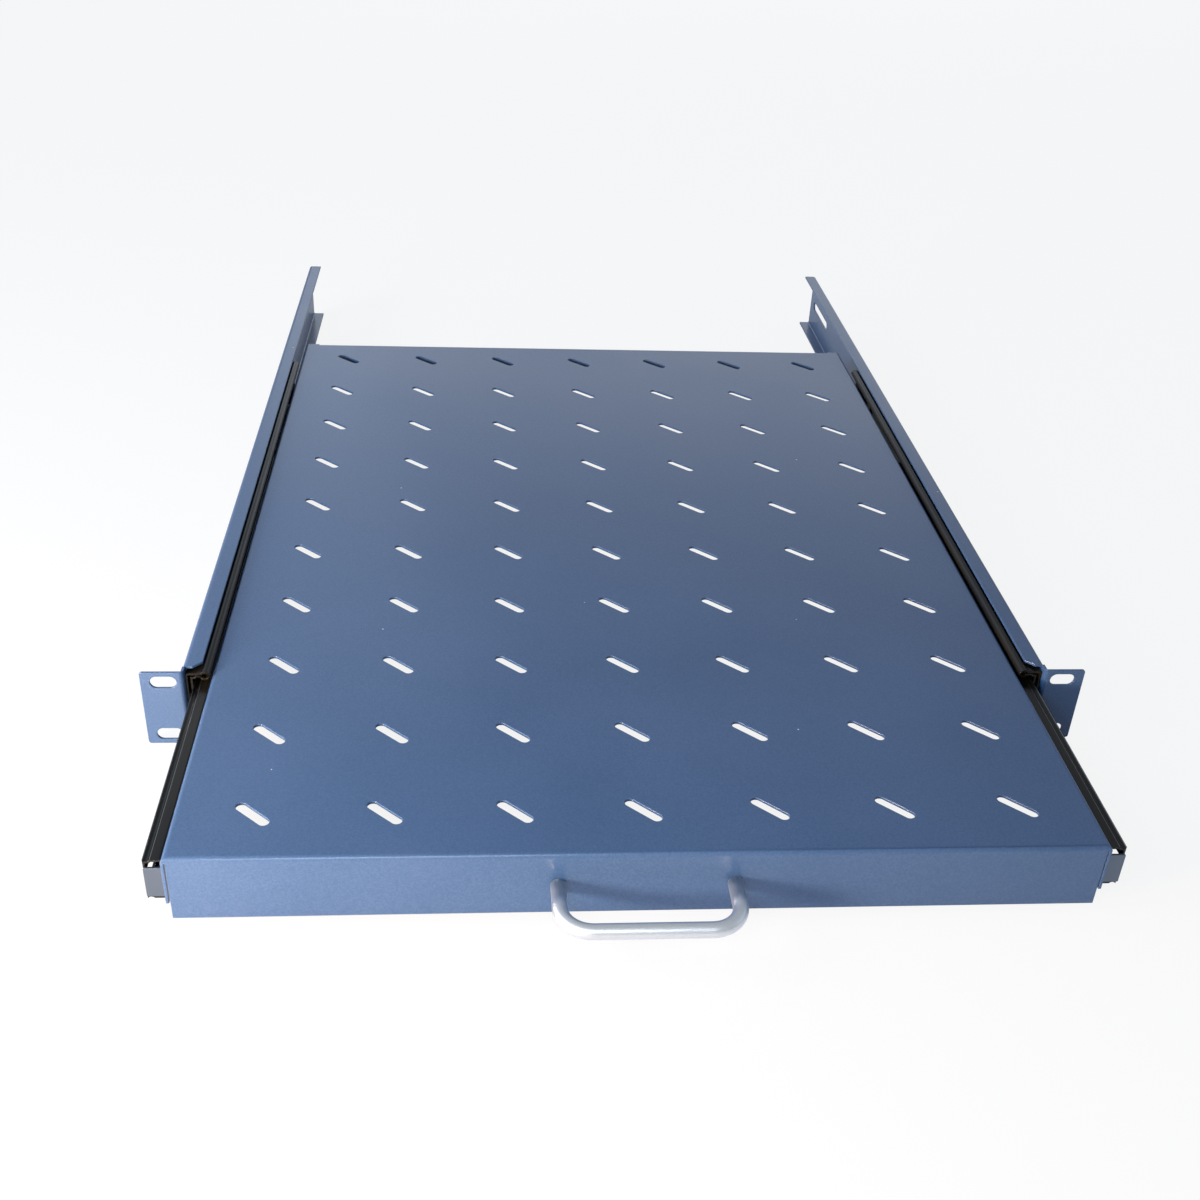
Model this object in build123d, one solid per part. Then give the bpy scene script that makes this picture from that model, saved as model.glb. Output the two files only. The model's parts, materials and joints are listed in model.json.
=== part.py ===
from build123d import *
import math
import os

# Sliding rack shelf, one rack unit high, shown pulled part of the way out.
# X runs to the right, +Y to the rear and +Z up. The origin is midway between the two
# ears, on their rear faces, which meet the rack, and at half their height. Lengths are
# millimetres.
# The right-hand side is modelled and the left-hand side is its mirror image.

# Rack interface
ear_span = 482.6            # outside width over both ears
unit_height = 43.65         # height of the ears and of the brackets
ear_reach = 20.1            # an ear stands out this far past its bracket
ear_slot_inset = 11.3       # from an ear's outer edge to the middle of its slots
ear_slot_rise = 31.75       # between the two slots of one ear
ear_slot_length = 13.0
ear_slot_width = 6.8
ear_corner_radius = 1.5

# Folded sheet
sheet = 1.5                 # wall of the tray and of the brackets
bend_radius = 2.5           # outside radius of a fold

# Brackets
bracket_length = 610.0
bracket_flange = 9.5        # width of the top and bottom flanges
fold_relief = 4.0           # the flanges start this far behind the ear
flange_corner = 4.5         # chamfer on the front corner of each flange
rear_slot_length = 54.0
rear_slot_width = 6.5
rear_slot_margin = 12.0     # from the slot's end to the bracket's rear edge

# Tray
tray_depth = 575.0
tray_drop = 4.8             # tray surface below the top of the ears
front_flange = 33.6
side_flange = 25.0
rear_flange = 20.0
rear_relief = 10.0          # the rear flange stops this far before the tray's sides
seam = 0.4                  # open seam between the front flange and a side flange
vent_pitch = 57.5
vent_margin = 28.0          # least distance from a vent's middle to the tray's edge
vent_length = 20.0
vent_width = 5.0
vent_angle = -43.0

# Handle
handle_span = 78.0          # between the two legs
handle_reach = 28.5         # from the front flange to the middle of the bar
handle_bar = 7.0
handle_bend = 14.0
handle_drop = 17.3          # middle of the bar below the tray surface
handle_thread = 3.3         # bore in each leg
handle_bore_depth = 11.0
handle_screw_depth = 9.0    # of the screw in the bore
thread_clearance = 0.1      # between a screw and its threaded bore

# Ball slides, three rails deep
slide_height = 35.0
slide_thickness = 12.7
slide_drop = 14.5           # middle of the slide below the tray surface
slide_length = 400.0        # outer rail
slide_setback = 3.0         # outer rail behind the ears' front faces
rail_wall = 1.2
rail_corner = 1.5
stage_travel = 200.0        # of one rail in the next
pulled_out = 130.0          # how far the tray stands out as drawn
ball = 3.0
race_clearance = 0.15       # between a ball and its race
race_angle = 50.0           # half of the arc that a race wraps
lip_hook = 0.3              # the outer rail's lip reaches this far past the ball's middle
lip_width = 0.2             # flat of the middle rail's leg outside its race
lip_drop = 6.0              # the inner rail's leg is turned back this far at its outer end
cage_wall = 0.45
cage_gap = 0.25             # between a cage's web and a rail
cage_wrap = 0.9             # a cage's leg reaches this far past the ball's middle
pocket_clearance = 0.1
balls_per_row = 3
stop_wall = 1.5             # thickness of a lanced stop, along the slide
stop_height = 9.0
stop_clearance = 0.35       # between a stop and the rail that passes it
end_clearance = 0.5         # between a stop and what it stops
front_clearance = 0.8       # between the front tab and the middle rail
rail_rear_step = 2.5        # the inner rail ends this far before the middle rail
tab_setback = 2.0           # front tab behind the tray's front
tab_width = 8.0
tab_height = 16.0
tab_corner = 0.6
access_hole = 9.0           # in the middle rail, for a screwdriver
spare_slot_length = 9.0
spare_slot_width = 4.6

# Rear buffers
buffer_length = 10.0
buffer_height = 20.0
buffer_depth = 7.0
buffer_pin = 4.0
buffer_round = 1.0
buffer_margin = 1.5         # from the buffer to the rail's rear end

# Screws and nuts
screw = 4.0
screw_head = 7.6
screw_head_height = 2.0
screw_head_chamfer = 0.7
screw_hole_clearance = 0.2  # on the diameter
screw_end_margin = 25.0     # from a rail's end to its first screw
screws_per_rail = 3
screw_end_proud = 0.4       # the screw's end past its nut
nut_across_flats = 7.0
nut_height = 3.2

# Modelling allowances
overcut = 1.0               # a cut runs this far past the wall
weld = 0.2                  # a block that is fused on reaches this far into its rail
touch = 0.01                # tolerance for picking edges and corners

# Places worked out from the sizes above
half_height = unit_height / 2
ear_front = -sheet
tray_half = ear_span / 2 - ear_reach - sheet - slide_thickness
tray_top = half_height - tray_drop
tray_front = ear_front - pulled_out
bracket_rear = ear_front + bracket_length
web_inside = tray_half + slide_thickness
web_outside = web_inside + sheet
slide_mid = tray_top - slide_drop

# Heights and depths in the slide's section, from the tray's side and from the slide's middle
race = ball / 2 + race_clearance
race_outside = race + rail_wall
wall_offset = (race + rail_wall / 2) * math.cos(math.radians(race_angle))
outer_ball_v = slide_height / 2 - race_outside
outer_leg_v = outer_ball_v + wall_offset
middle_leg_v = outer_ball_v - wall_offset
inner_ball_v = middle_leg_v - wall_offset
inner_leg_v = inner_ball_v - wall_offset
outer_web_u = slide_thickness - rail_wall
outer_cage_u = outer_web_u - cage_gap - cage_wall
middle_web_u = outer_cage_u - cage_gap - rail_wall
inner_cage_u = middle_web_u - cage_gap - cage_wall
inner_leg_end = inner_cage_u - cage_gap
inner_ball_u = inner_leg_end - race
ball_step = 2 * race + rail_wall
outer_ball_u = inner_ball_u - math.sqrt(ball_step ** 2 - (2 * wall_offset) ** 2)
middle_leg_end = outer_ball_u - race - lip_width

# Places along the slide with the shelf pushed home
outer_front = ear_front + slide_setback
outer_rear = outer_front + slide_length
inner_front = ear_front + tab_setback
middle_front = inner_front + rail_wall + front_clearance
buffer_front = outer_rear - buffer_length - buffer_margin
middle_rear = buffer_front - end_clearance
inner_rear = middle_rear - rail_rear_step
outer_stop_front = outer_front + end_clearance
cage_clearance = 2 * stop_wall + 2 * end_clearance
outer_cage_length = middle_rear - stage_travel - outer_stop_front - cage_clearance
outer_cage_home = outer_stop_front + stop_wall + end_clearance + stage_travel / 2
inner_cage_length = inner_rear - stage_travel - middle_front - cage_clearance
inner_cage_home = middle_front + stop_wall + end_clearance + stage_travel / 2


def box(x0, x1, y0, y1, z0, z1):
    """A block between two opposite corners."""
    size = Box(x1 - x0, y1 - y0, z1 - z0)
    return Pos((x0 + x1) / 2, (y0 + y1) / 2, (z0 + z1) / 2) * size


def rod(x0, x1, y, z, diameter):
    """A round bar along X."""
    bar = Rot(0, 90, 0) * Cylinder(diameter / 2, x1 - x0)
    return Pos((x0 + x1) / 2, y, z) * bar


def patch(u0, u1, v0, v1):
    """A rectangle in the slide's section."""
    return Pos((u0 + u1) / 2, (v0 + v1) / 2) * Rectangle(u1 - u0, v1 - v0)


def disc(u, v, radius):
    """A circle in the slide's section."""
    return Pos(u, v) * Circle(radius)


def both_legs(leg):
    """The upper leg of a section and its mirror image below."""
    return leg + mirror(leg, about=Plane.XZ)


def along_slide(section, y0, y1):
    """Extrudes a section of the slide between two places along it."""
    plane = Plane(origin=(tray_half, y1, slide_mid), x_dir=(1, 0, 0), z_dir=(0, -1, 0))
    return extrude(plane * section, amount=y1 - y0)


def slide_block(u0, u1, y0, y1, v0, v1):
    """A block given in the slide's section, at a place along it."""
    return box(tray_half + u0, tray_half + u1, y0, y1, slide_mid + v0, slide_mid + v1)


def spread(first, last, count):
    """Evenly spaced places from first to last."""
    step = (last - first) / max(count - 1, 1)
    return [first + step * i for i in range(count)]


def outer_screw_places():
    """Where the screws of the outer rail stand along Y."""
    return spread(outer_front + screw_end_margin, buffer_front - screw_end_margin, screws_per_rail)


def inner_screw_places(shift):
    """Where the screws of the inner rail stand along Y."""
    first = inner_front + screw_end_margin
    last = inner_rear - screw_end_margin
    return [y + shift for y in spread(first, last, screws_per_rail)]


def web_hole(web_u, y, diameter):
    """A round cutter through a rail's web."""
    x0 = tray_half + web_u - overcut
    x1 = tray_half + web_u + rail_wall + overcut
    return rod(x0, x1, y, slide_mid, diameter)


def web_slots(web_u, places):
    """Cutters for the spare fixing slots, midway between the screws of a rail."""
    outline = Plane.YZ * SlotOverall(spare_slot_length, spare_slot_width)
    cutter = extrude(outline, amount=rail_wall + overcut, both=True)
    middles = [(before + after) / 2 for before, after in zip(places[:-1], places[1:])]
    return [Pos(tray_half + web_u, y, slide_mid) * cutter for y in middles]


def corners_at(section, u, v):
    """The two corners of a section at one depth, the same distance above and below."""
    return section.vertices().filter_by(lambda c: abs(c.X - u) < touch and abs(abs(c.Y) - v) < touch)


def pan_screw(diameter, shank):
    """A pan-head screw, its head standing up from its seat at Z=0."""
    head = Cylinder(screw_head / 2, screw_head_height, align=(Align.CENTER, Align.CENTER, Align.MIN))
    head = chamfer(head.edges().group_by(Axis.Z)[-1], screw_head_chamfer)
    stem = Cylinder(diameter / 2, shank, align=(Align.CENTER, Align.CENTER, Align.MAX))
    return head + stem


def side_screws(x_seat, places, shank):
    """Pan-head screws with their heads on x_seat, pointing to the middle of the shelf."""
    body = Rot(0, 90, 0) * pan_screw(screw, shank)
    return Compound([Pos(x_seat, y, slide_mid) * body for y in places])


def rack_bracket():
    """One folded bracket: a C-section with its web outside, and the ear at its front."""
    flange_edge = web_outside - bracket_flange
    section = patch(flange_edge, web_outside, -half_height, half_height)
    hollow = patch(flange_edge - overcut, web_inside, sheet - half_height, half_height - sheet)
    corners = section.vertices().filter_by(lambda v: v.X > web_outside - sheet / 2)
    section = fillet(corners, bend_radius)
    inside = hollow.vertices().filter_by(lambda v: v.X > web_inside - sheet / 2)
    section = section - fillet(inside, bend_radius - sheet)
    plane = Plane(origin=(0, bracket_rear, 0), x_dir=(1, 0, 0), z_dir=(0, -1, 0))
    channel = extrude(plane * section, amount=bracket_rear - fold_relief)
    tips = channel.edges().filter_by(Axis.Z).filter_by(
        lambda e: e.center().X < flange_edge + touch and e.center().Y < fold_relief + touch)
    channel = chamfer(tips, flange_corner)

    plan = patch(web_inside, ear_span / 2, ear_front, 0)
    plan += patch(web_inside, web_outside, ear_front, fold_relief)
    outside_corner = plan.vertices().sort_by(lambda v: v.X + v.Y)[0]
    plan = fillet(outside_corner, bend_radius)
    ear = extrude(Pos(0, 0, -half_height) * plan, amount=unit_height)
    tips = ear.edges().filter_by(Axis.Y).group_by(Axis.X)[-1]
    ear = fillet(tips, ear_corner_radius)
    for z in (-ear_slot_rise / 2, ear_slot_rise / 2):
        slot = Plane.XZ * SlotOverall(ear_slot_length, ear_slot_width)
        ear -= Pos(ear_span / 2 - ear_slot_inset, 0, z) * extrude(slot, amount=sheet * 2, both=True)

    bracket = channel + ear
    rear = Plane.YZ * SlotOverall(rear_slot_length, rear_slot_width)
    y_slot = bracket_rear - rear_slot_margin - rear_slot_length / 2
    bracket -= Pos(web_inside, y_slot, 0) * extrude(rear, amount=sheet * 2, both=True)
    hole = screw + screw_hole_clearance
    for y in outer_screw_places():
        bracket -= rod(web_inside - overcut, web_outside + overcut, y, slide_mid, hole)
    return bracket


def outer_rail():
    """The fixed rail of a slide, whose lips hook round the outer rows of balls."""
    low = outer_leg_v - rail_wall / 2
    high = outer_leg_v + rail_wall / 2
    top = slide_height / 2
    leg = patch(outer_ball_u, slide_thickness, low, high)
    reach = patch(outer_ball_u - race_outside, outer_ball_u + race_outside, low, top)
    reach += patch(outer_ball_u - race_outside, outer_ball_u, outer_ball_v - lip_hook, top)
    leg += disc(outer_ball_u, outer_ball_v, race_outside) & reach
    leg -= disc(outer_ball_u, outer_ball_v, race)
    section = both_legs(leg) + patch(outer_web_u, slide_thickness, -high, high)
    section = fillet(corners_at(section, slide_thickness, high), rail_corner)
    rail = along_slide(section, outer_front, outer_rear)
    rail += slide_block(middle_web_u + rail_wall + stop_clearance, outer_web_u + weld, outer_stop_front,
                        outer_stop_front + stop_wall, -stop_height / 2, stop_height / 2)
    places = outer_screw_places()
    for y in places:
        rail -= web_hole(outer_web_u, y, screw + screw_hole_clearance)
    for slot in web_slots(outer_web_u, places):
        rail -= slot
    rail -= web_hole(outer_web_u, buffer_front + buffer_length / 2, buffer_pin + screw_hole_clearance)
    return rail


def middle_rail():
    """The rail between, with a race on both faces of each leg, still pushed home."""
    low = middle_leg_v - rail_wall / 2
    high = middle_leg_v + rail_wall / 2
    leg = patch(middle_leg_end, middle_web_u + rail_wall, low, high)
    under = patch(middle_leg_end, outer_ball_u + race_outside, outer_ball_v - race_outside, low)
    leg += disc(outer_ball_u, outer_ball_v, race_outside) & under
    over = patch(inner_ball_u - race_outside, middle_web_u, high, inner_ball_v + race_outside)
    leg += disc(inner_ball_u, inner_ball_v, race_outside) & over
    leg -= disc(outer_ball_u, outer_ball_v, race)
    leg -= disc(inner_ball_u, inner_ball_v, race)
    section = both_legs(leg) + patch(middle_web_u, middle_web_u + rail_wall, -high, high)
    rail = along_slide(section, middle_front, middle_rear)
    outward = middle_web_u + rail_wall
    rail += slide_block(outward - weld, outer_web_u - stop_clearance, middle_rear - stop_wall,
                        middle_rear, -stop_height / 2, stop_height / 2)
    rail += slide_block(inner_leg_end + stop_clearance, middle_web_u + weld, middle_front,
                        middle_front + stop_wall, -stop_height / 2, stop_height / 2)
    rail += slide_block(inner_leg_end - 2 * rail_wall, middle_web_u + weld, middle_rear - stop_wall,
                        middle_rear, -inner_leg_v - rail_wall / 2, inner_leg_v + rail_wall / 2)
    for y in outer_screw_places():
        rail -= web_hole(middle_web_u, y, access_hole)
    return rail


def inner_rail(shift):
    """The rail on the tray, whose front end is bent out to a tab."""
    low = inner_leg_v - rail_wall / 2
    high = inner_leg_v + rail_wall / 2
    leg = patch(0, inner_leg_end, low, high)
    under = patch(inner_ball_u - race_outside, inner_leg_end, inner_ball_v - race_outside, low)
    leg += disc(inner_ball_u, inner_ball_v, race_outside) & under
    leg += patch(inner_leg_end - rail_wall, inner_leg_end, inner_leg_v - lip_drop, low)
    leg -= disc(inner_ball_u, inner_ball_v, race)
    section = both_legs(leg) + patch(0, rail_wall, -high, high)
    section = fillet(corners_at(section, 0, high), rail_corner)
    front = middle_front + shift
    rail = along_slide(section, front, inner_rear + shift)
    rail += slide_block(0, rail_wall, inner_front + shift, front + weld, -tab_height / 2, tab_height / 2)
    tab = slide_block(0, tab_width, inner_front + shift, inner_front + rail_wall + shift,
                      -tab_height / 2, tab_height / 2)
    rail += fillet(tab.edges().filter_by(Axis.Y).group_by(Axis.X)[-1], tab_corner)
    for side in (-1, 1):
        edge = side * inner_leg_v
        rail += slide_block(inner_leg_end - weld, middle_web_u - stop_clearance,
                            inner_rear - stop_wall + shift, inner_rear + shift,
                            edge - rail_wall / 2, edge + rail_wall / 2)
    places = inner_screw_places(shift)
    for y in places:
        rail -= web_hole(0, y, screw + screw_hole_clearance)
    for slot in web_slots(0, places):
        rail -= slot
    return rail


def ball_places(front, length):
    """Where the balls of a row stand along Y in a cage."""
    margin = length / balls_per_row / 2
    return spread(front + margin, front + length - margin, balls_per_row)


def ball_cage(web_u, ball_u, leg_v, front, length):
    """A strip folded to a C that spaces the upper and the lower row of balls."""
    end = ball_u - cage_wrap
    leg = patch(end, web_u + cage_wall, leg_v, leg_v + cage_wall)
    web = patch(web_u, web_u + cage_wall, -leg_v - cage_wall, leg_v + cage_wall)
    section = both_legs(leg) + web
    cage = along_slide(section, front, front + length)
    pocket = ball / 2 + pocket_clearance
    for y in ball_places(front, length):
        cage -= Pos(tray_half + ball_u, y, slide_mid) * Cylinder(pocket, slide_height)
    return cage


def ball_rows(ball_u, ball_v, front, length):
    """The balls of one cage, in an upper and a lower row."""
    balls = []
    for y in ball_places(front, length):
        for side in (-1, 1):
            balls.append(Pos(tray_half + ball_u, y, slide_mid + side * ball_v) * Sphere(ball / 2))
    return Compound(balls)


def rear_buffer():
    """A plastic block clipped into the rear of the outer rail."""
    block = slide_block(outer_web_u - buffer_depth, outer_web_u, buffer_front,
                        buffer_front + buffer_length, -buffer_height / 2, buffer_height / 2)
    block = fillet(block.edges().filter_by(Axis.Z).group_by(Axis.X)[0], buffer_round)
    y_pin = buffer_front + buffer_length / 2
    pin = rod(tray_half + outer_web_u - overcut, web_inside, y_pin, slide_mid, buffer_pin)
    return block + pin


def outer_rail_screws():
    """The screws that hold the outer rail, their heads outside the bracket."""
    return side_screws(web_outside, outer_screw_places(), sheet + rail_wall)


def inner_rail_screws(shift):
    """The screws that hold the inner rail to the tray, their heads inside the rail."""
    shank = rail_wall + sheet + nut_height + screw_end_proud
    return side_screws(tray_half + rail_wall, inner_screw_places(shift), shank)


def inner_rail_nuts(shift):
    """The nuts of those screws, inside the tray's side flange."""
    nuts = []
    for y in inner_screw_places(shift):
        nut = extrude(RegularPolygon(nut_across_flats / 2, 6, major_radius=False), amount=nut_height)
        nut -= Cylinder((screw + screw_hole_clearance) / 2, nut_height * 3)
        nuts.append(Pos(tray_half - sheet, y, slide_mid) * (Rot(0, -90, 0) * nut))
    return Compound(nuts)


def rear_corners(rear):
    """The tray's top and side flange beside the rear flange, where they run on unbent."""
    outer = patch(-tray_half, tray_half, tray_top - side_flange, tray_top)
    outer = fillet(outer.vertices().group_by(Axis.Y)[-1], bend_radius)
    inner = patch(sheet - tray_half, tray_half - sheet, tray_top - side_flange - overcut, tray_top - sheet)
    inner = fillet(inner.vertices().group_by(Axis.Y)[-1], bend_radius - sheet)
    low = tray_top - side_flange
    middle = patch(rear_relief - tray_half, tray_half - rear_relief, low, tray_top + overcut)
    plane = Plane(origin=(0, rear, 0), x_dir=(1, 0, 0), z_dir=(0, -1, 0))
    return extrude(plane * (outer - inner - middle), amount=bend_radius)


def vent_places(start, length):
    """The middles of the vents along one side of the tray, centred on it."""
    count = int((length - 2 * vent_margin) // vent_pitch) + 1
    first = start + (length - (count - 1) * vent_pitch) / 2
    return [first + vent_pitch * i for i in range(count)]


def shelf_tray():
    """The tray: one folded sheet with slanted vents, a deep front flange and shallower sides."""
    rear = tray_front + tray_depth
    shell = box(-tray_half, tray_half, tray_front, rear, tray_top - front_flange, tray_top)
    shell = fillet(shell.edges().group_by(Axis.Z)[-1], bend_radius)
    hollow = box(sheet - tray_half, tray_half - sheet, tray_front + sheet, rear - sheet,
                 tray_top - front_flange - sheet, tray_top - sheet)
    hollow = fillet(hollow.edges().group_by(Axis.Z)[-1], bend_radius - sheet)
    tray = shell - hollow
    below = tray_top - front_flange - overcut
    for side in (-1, 1):
        inside = side * (tray_half - sheet)
        far = side * (tray_half + overcut)
        x0, x1 = sorted((inside, far))
        tray -= box(x0, x1, tray_front - overcut, rear + overcut, below, tray_top - side_flange)
        s0, s1 = sorted((inside, inside - side * seam))
        tray -= box(s0, s1, tray_front - overcut, tray_front + sheet, below, tray_top - bend_radius)
        c0, c1 = sorted((side * (tray_half - rear_relief), far))
        tray -= box(c0, c1, rear - bend_radius, rear + overcut, below, tray_top + overcut)
    tray -= box(-tray_half - overcut, tray_half + overcut, rear - sheet, rear + overcut, below,
                tray_top - rear_flange)
    tray += rear_corners(rear)

    vents = Sketch()
    for y in vent_places(tray_front, tray_depth):
        for x in vent_places(-tray_half, 2 * tray_half):
            vents += Pos(x, y) * (Rot(0, 0, vent_angle) * SlotOverall(vent_length, vent_width))
    tray -= extrude(Pos(0, 0, tray_top) * vents, amount=sheet + overcut, both=True)

    for x in (-handle_span / 2, handle_span / 2):
        hole = Rot(90, 0, 0) * Cylinder((screw + screw_hole_clearance) / 2, sheet * 4)
        tray -= Pos(x, tray_front, tray_top - handle_drop) * hole
    for y in inner_screw_places(-pulled_out):
        for side in (-1, 1):
            x0, x1 = sorted((side * (tray_half - sheet - overcut), side * (tray_half + overcut)))
            tray -= rod(x0, x1, y, slide_mid, screw + screw_hole_clearance)
    return tray


def bow_handle():
    """The handle: a round bar bent to a bow, with a threaded bore in each leg."""
    half = handle_span / 2
    bar_y = tray_front - handle_reach
    z = tray_top - handle_drop
    corners = [(-half, tray_front, z), (-half, bar_y, z), (half, bar_y, z), (half, tray_front, z)]
    path = FilletPolyline(*corners, radius=handle_bend)
    section = Plane(origin=path @ 0, z_dir=path % 0) * Circle(handle_bar / 2)
    handle = sweep(section, path=path)
    for x in (-half, half):
        bore = Rot(90, 0, 0) * Cylinder(handle_thread / 2, handle_bore_depth * 2)
        handle -= Pos(x, tray_front, z) * bore
    return handle


def handle_screws():
    """The two screws of the handle, their heads behind the front flange."""
    screws = []
    for x in (-handle_span / 2, handle_span / 2):
        body = pan_screw(handle_thread - 2 * thread_clearance, sheet + handle_screw_depth)
        screws.append(Pos(x, tray_front + sheet, tray_top - handle_drop) * (Rot(-90, 0, 0) * body))
    return Compound(screws)


def slide_set():
    """Every piece of the right-hand slide and bracket, by name."""
    out = -pulled_out
    inner_cage_y = inner_cage_home + out / 2
    outer_cage_v = (inner_ball_v + race_outside + outer_leg_v - rail_wall / 2) / 2 - cage_wall / 2
    inner_cage_v = (inner_leg_v + rail_wall / 2 + outer_ball_v - race_outside) / 2 - cage_wall / 2
    return {
        "bracket": rack_bracket(),
        "outer_rail": outer_rail(),
        "outer_rail_screws": outer_rail_screws(),
        "rear_buffer": rear_buffer(),
        "outer_cage": ball_cage(outer_cage_u, outer_ball_u, outer_cage_v, outer_cage_home,
                                outer_cage_length),
        "outer_balls": ball_rows(outer_ball_u, outer_ball_v, outer_cage_home, outer_cage_length),
        "middle_rail": middle_rail(),
        "inner_cage": ball_cage(inner_cage_u, inner_ball_u, inner_cage_v, inner_cage_y,
                                inner_cage_length),
        "inner_balls": ball_rows(inner_ball_u, inner_ball_v, inner_cage_y, inner_cage_length),
        "inner_rail": inner_rail(out),
        "inner_rail_screws": inner_rail_screws(out),
        "inner_rail_nuts": inner_rail_nuts(out),
    }


os.makedirs("parts", exist_ok=True)
pieces = {"shelf_tray": shelf_tray(), "handle": bow_handle(), "handle_screws": handle_screws()}
for name, piece in slide_set().items():
    pieces["right_" + name] = piece
    pieces["left_" + name] = mirror(piece, about=Plane.YZ)
for name, piece in pieces.items():
    export_step(piece, f"parts/{name}.step")
print(len(pieces), "nodes")
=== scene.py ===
# %% [markdown]
# Sliding rack shelf
# The shelf is a vented tray of folded steel sheet. It hangs between two rack brackets on ball
# slides and comes out towards the viewer. The construction is fixed already: every plate, rail,
# ball and screw is loaded at its real size. It could be shown as it is, but its edges are as sharp
# as a drawing's and it has no colour. This lesson gives each piece its finish, rounds the edges that
# a press and a coat of paint would round, models the small fasteners properly, and lights the whole
# like a product photograph.

# %% Load the construction
import json
import math
import bmesh
import bpy
from mathutils import Matrix, Vector
from mathutils.bvhtree import BVHTree


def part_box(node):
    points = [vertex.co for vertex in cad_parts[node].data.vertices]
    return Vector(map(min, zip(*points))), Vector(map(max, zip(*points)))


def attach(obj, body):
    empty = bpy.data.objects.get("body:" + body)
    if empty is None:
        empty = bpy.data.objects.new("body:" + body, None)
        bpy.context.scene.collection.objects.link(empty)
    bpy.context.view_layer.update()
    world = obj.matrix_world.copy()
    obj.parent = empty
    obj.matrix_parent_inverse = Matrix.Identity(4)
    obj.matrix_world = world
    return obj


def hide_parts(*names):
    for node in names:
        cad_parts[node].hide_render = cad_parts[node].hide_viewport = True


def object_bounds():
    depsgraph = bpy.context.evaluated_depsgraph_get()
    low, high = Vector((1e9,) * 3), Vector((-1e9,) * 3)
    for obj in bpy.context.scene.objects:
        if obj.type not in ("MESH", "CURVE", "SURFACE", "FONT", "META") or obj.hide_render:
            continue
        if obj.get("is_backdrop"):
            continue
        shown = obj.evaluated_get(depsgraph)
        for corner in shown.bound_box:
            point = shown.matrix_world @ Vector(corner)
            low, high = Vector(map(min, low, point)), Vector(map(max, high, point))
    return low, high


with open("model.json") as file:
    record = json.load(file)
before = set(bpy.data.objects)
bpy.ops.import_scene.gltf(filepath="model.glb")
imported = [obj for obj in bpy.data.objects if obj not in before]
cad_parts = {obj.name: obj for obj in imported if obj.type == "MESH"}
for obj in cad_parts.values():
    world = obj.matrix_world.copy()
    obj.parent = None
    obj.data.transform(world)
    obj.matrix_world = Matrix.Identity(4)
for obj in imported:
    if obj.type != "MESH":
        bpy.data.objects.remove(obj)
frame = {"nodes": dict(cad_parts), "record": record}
cad_low, cad_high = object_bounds()

MM = 0.001
SIDES = ("left", "right")
SLOT_OF = {part["node"]: part["material_slot"] for part in frame["record"]["subparts"]}
BODY_OF = {name: body for body, names in frame["record"]["behaviour"]["bodies"].items() for name in names}
tray_low, tray_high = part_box("shelf_tray")
print("construction", [round((b - a) / MM, 1) for a, b in zip(cad_low, cad_high)], "mm")

# %% [markdown]
# The camera
# A picture is only comparable with the real shelf if both are seen from the same place. The camera
# could be moved by hand until the pictures agree, but its place and its three angles can also be
# worked out, because the vents of the tray stand on a regular grid. That way was chosen, so only a
# few real numbers are needed here. The camera stands in front, a little to the left, looks down by
# about a third of a right angle and leans a few degrees to one side.

# %% Camera
PHOTO_SIDE_PX = 1200
FOCAL_PX = 1410.0
SENSOR_MM = 36.0
PITCH_DOWN = 0.556
YAW = -0.097
ROLL = 0.053
CAMERA_FROM_TRAY_FRONT = Vector((-71.6, -454.3, 412.4)) * MM

front_edge = Vector((0.0, tray_low.y, tray_high.z))
camera_data = bpy.data.cameras.new("camera")
camera_data.sensor_width = SENSOR_MM
camera_data.lens = SENSOR_MM * FOCAL_PX / PHOTO_SIDE_PX
camera = bpy.data.objects.new("camera", camera_data)
bpy.context.scene.collection.objects.link(camera)
heading = Matrix.Rotation(YAW, 4, "Z")
tilt = Matrix.Rotation(math.pi / 2 - PITCH_DOWN, 4, "X")
lean = Matrix.Rotation(ROLL, 4, "Z")
turn = heading @ tilt @ lean
camera.matrix_world = Matrix.Translation(front_edge + CAMERA_FROM_TRAY_FRONT) @ turn
bpy.context.scene.camera = camera
print("lens", round(camera_data.lens, 1), "mm")

# %% [markdown]
# Colours and nodes
# Colours are picked on a screen as sRGB hex values, but light adds up in linear values, so one
# function turns the first into the second. A second small function adds a shader node, sets its
# values and joins its links. The nodes could be drawn in the editor instead, but as text every
# material can be read from top to bottom, and a changed value is found in one place.
#
# A finish is never quite even: it has a grain, clouds and streaks. A photographed texture could
# show them, but it would repeat and would need to be laid over each piece. A noise that is worked
# out from the place on the object, in metres, has no seams, and its scale is one over the real size
# of its blots. It seldom leaves the range from 0.3 to 0.7, so this is the range that a Map Range
# node stretches to the values that a finish needs.

# %% Colours and nodes
NOISE_RANGE = {"From Min": 0.3, "From Max": 0.7}


def linear(code):
    """An sRGB hex value as a linear colour with alpha."""
    values = [int(code[i:i + 2], 16) / 255 for i in (1, 3, 5)]
    return tuple(v / 12.92 if v <= 0.04045 else ((v + 0.055) / 1.055) ** 2.4 for v in values) + (1.0,)


def add(tree, kind, inputs=None, **settings):
    """Adds a node. An input is a value, a socket to link from, or a node whose first output is meant."""
    node = tree.nodes.new(kind)
    for name, value in settings.items():
        setattr(node, name, value)
    for name, value in (inputs or {}).items():
        if isinstance(value, bpy.types.Node):
            value = next(socket for socket in value.outputs if socket.enabled)
        if isinstance(value, bpy.types.NodeSocket):
            tree.links.new(value, node.inputs[name])
        else:
            node.inputs[name].default_value = value
    return node


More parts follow.
